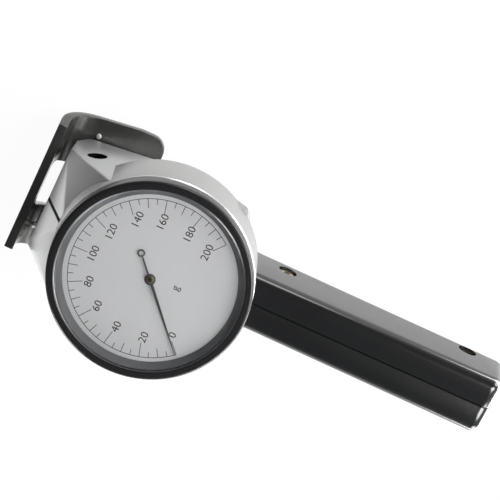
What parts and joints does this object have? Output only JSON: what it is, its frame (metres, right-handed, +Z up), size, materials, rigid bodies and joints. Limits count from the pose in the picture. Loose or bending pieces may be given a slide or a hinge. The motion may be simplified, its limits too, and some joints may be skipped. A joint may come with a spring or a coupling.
{
  "type": "dial tension gauge",
  "caption": "Hand-held dial gauge for thread tension: round dial on a faceted head, bent guard over a sprung feeler roller, straight two-shell handle.",
  "frame": {"origin": "middle of the footprint of the gauge as it lies on its back, on the ground", "axes": "+Y along the gauge from the handle's end to the guard, +Z up and out of the dial, +X to the dial's right; the gauge leans 5.4 degrees about X because it lies on the guard's foot and the handle's end"},
  "size_m": [0.0836, 0.212, 0.0754],
  "materials": {
    "silver_paint": "satin silver-grey paint on cast metal",
    "drum_silver": "fine satin, turned",
    "black_plastic": "satin moulded",
    "bezel_black": "semi-gloss black",
    "guard_gunmetal": "dark gunmetal, satin",
    "dial_silver": "matt silver-white, printed scale",
    "ring_grey": "satin grey",
    "clear_glass": "clear",
    "pointer_black": "matt black",
    "brass": "satin",
    "steel": "bright",
    "spring_steel": "bright wire"
  },
  "bodies": {
    "case": {"head_left": "silver_paint", "head_right": "silver_paint", "head_screw_upper": "brass", "head_screw_lower": "brass", "dial_drum": "drum_silver", "drum_screw_1": "steel", "drum_screw_2": "steel", "drum_screw_3": "steel", "dial_plate": "dial_silver", "dial_ring": "ring_grey", "dial_glass": "clear_glass", "bezel": "bezel_black", "handle_left": "black_plastic", "handle_right": "black_plastic", "handle_screw_upper": "brass", "handle_screw_lower": "brass", "guard": "guard_gunmetal", "guard_screw_left": "steel", "guard_screw_right": "steel", "guide_pin_inner_left": "steel", "guide_pin_outer_left": "steel", "guide_pin_outer_right": "steel", "movement_front_plate": "brass", "movement_back_plate": "brass", "movement_pillar_1": "steel", "movement_pillar_2": "steel", "movement_pillar_3": "steel", "pillar_screw_1": "steel", "pillar_screw_2": "steel", "pillar_screw_3": "steel", "movement_screw_1": "steel", "movement_screw_2": "steel", "movement_screw_3": "steel", "hairspring": "spring_steel", "hairspring_stud": "brass", "plunger_frame": "brass", "frame_screw_1": "steel", "frame_screw_2": "steel", "measuring_spring": "spring_steel"},
    "plunger": {"plunger": "steel", "feeler_pin": "steel", "drive_pin": "steel"},
    "roller": {"feeler_roller": "steel"},
    "sector": {"sector_gear": "brass", "sector_arbor": "steel", "fork_arm": "brass"},
    "pointer": {"pointer_arbor": "steel", "pinion": "steel", "pointer_hub": "brass", "pointer": "pointer_black"}
  },
  "joints": [
    {"name": "plunger_slide", "type": "slide", "parent": "case", "child": "plunger", "axis": [0, -0.9955, -0.0946], "range_m": [0, 0.0028], "stiffness_N_per_m": 713, "springref_m": -0.0003, "deforming": ["measuring_spring"]},
    {"name": "roller_spin", "type": "hinge", "parent": "plunger", "child": "roller", "pos_m": [0, 0.09353, 0.00721], "axis": [0, -0.0946, 0.9955], "continuous": true},
    {"name": "sector_turn", "type": "hinge", "parent": "case", "child": "sector", "pos_m": [0.0054, 0.06382, 0.05401], "axis": [0, -0.0946, 0.9955], "range_deg": [0, 29.2]},
    {"name": "pointer_turn", "type": "hinge", "parent": "case", "child": "pointer", "pos_m": [0, 0.04319, 0.06762], "axis": [0, -0.0946, 0.9955], "range_deg": [-262, 0]}
  ],
  "couplings": [
    {"joint": "sector_turn", "follows": "plunger_slide", "rad_per_m": 181.18},
    {"joint": "pointer_turn", "follows": "plunger_slide", "rad_per_m": -1630.7}
  ]
}
